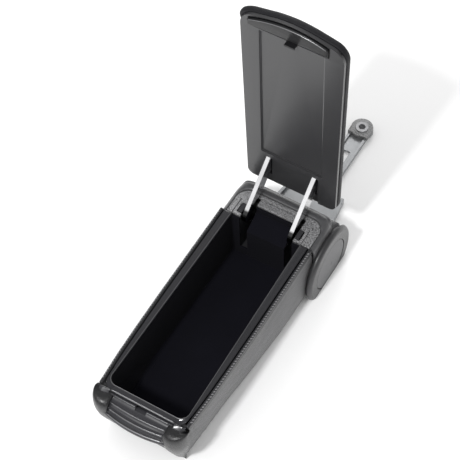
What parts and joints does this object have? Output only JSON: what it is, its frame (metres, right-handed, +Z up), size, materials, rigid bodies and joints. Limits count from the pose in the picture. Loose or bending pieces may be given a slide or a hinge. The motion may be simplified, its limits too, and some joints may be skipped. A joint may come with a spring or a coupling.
{
  "type": "car centre armrest",
  "caption": "Car centre armrest: tapered leather-covered storage box with a padded lid held open on two bright swan-neck arms, ribbed nose, round end caps and a pivoting steel floor bracket.",
  "frame": {"origin": "on the flat underside of the bracket base plate, on the centre plane, 6 mm in front of the tilt axle", "axes": "+X to the right, +Y to the rear along the box, +Z up out of the bin; lid drawn open, bracket laid flat"},
  "size_m": [0.1343, 0.5289, 0.3699],
  "materials": {
    "shell_plastic": "satin moulded black plastic",
    "soft_leather": "black automotive leatherette, fine grain, soft sheen",
    "rim_plastic": "fine-grained dark grey plastic",
    "nose_plastic": "dark moulded plastic with a soft gloss",
    "grained_insert": "coarse pebble-grained grey plastic",
    "flock": "black flocked lining",
    "lid_plastic": "satin dark grey plastic",
    "bright_steel": "bright plated steel",
    "zinc_steel": "zinc-plated pressed steel",
    "axle_steel": "turned steel",
    "spring_steel": "spring steel",
    "stop_rubber": "black rubber",
    "foot_rubber": "grained dark rubber",
    "washer_plastic": "self-lubricating plastic",
    "cap_plastic": "leather-grained dark plastic",
    "disc_plastic": "smooth dark grey plastic"
  },
  "bodies": {
    "bracket": {"pivot_sleeve": "zinc_steel", "friction_washers": "washer_plastic", "neck_plate_left": "zinc_steel", "neck_plate_right": "zinc_steel", "base_plate": "zinc_steel", "foot_pad": "foot_rubber", "foot_bush": "zinc_steel"},
    "armrest": {"box_shell": "shell_plastic", "bin_liner": "flock", "base_panel": "shell_plastic", "base_screws": "axle_steel", "side_cover_left": "soft_leather", "side_cover_right": "soft_leather", "rim_trim": "rim_plastic", "rim_welt_left": "soft_leather", "rim_welt_right": "soft_leather", "front_nose": "nose_plastic", "hinge_housing": "shell_plastic", "rear_cover": "soft_leather", "rear_deck": "grained_insert", "pivot_block_left": "shell_plastic", "pivot_block_right": "shell_plastic", "arm_stop_left": "stop_rubber", "arm_stop_right": "stop_rubber", "hinge_pin_left": "axle_steel", "hinge_pin_right": "axle_steel", "tilt_axle": "axle_steel", "axle_clips": "spring_steel", "end_cap_left": "cap_plastic", "end_cap_right": "cap_plastic", "cap_disc_left": "disc_plastic", "cap_disc_right": "disc_plastic", "cap_screws": "axle_steel"},
    "lid": {"hinge_arm_left": "bright_steel", "hinge_arm_right": "bright_steel", "lid_panel": "lid_plastic", "lid_mount_plate": "zinc_steel", "lid_screws": "axle_steel", "lid_cushion": "soft_leather", "latch_pin": "axle_steel", "latch_spring": "spring_steel"},
    "latch": {"latch_flap": "lid_plastic"}
  },
  "joints": [
    {"name": "armrest_tilt", "type": "hinge", "parent": "bracket", "child": "armrest", "pos_m": [0, 0.006, 0.027], "axis": [-1, 0, 0], "range_deg": [0, 55]},
    {"name": "lid_hinge", "type": "hinge", "parent": "armrest", "child": "lid", "pos_m": [0, 0.0102, 0.0517], "axis": [1, 0, 0], "range_deg": [0, 90]},
    {"name": "latch", "type": "hinge", "parent": "lid", "child": "latch", "pos_m": [0, 0.0429, 0.3479], "axis": [-1, 0, 0], "range_deg": [0, 12], "stiffness_Nm_per_rad": 0.15}
  ]
}
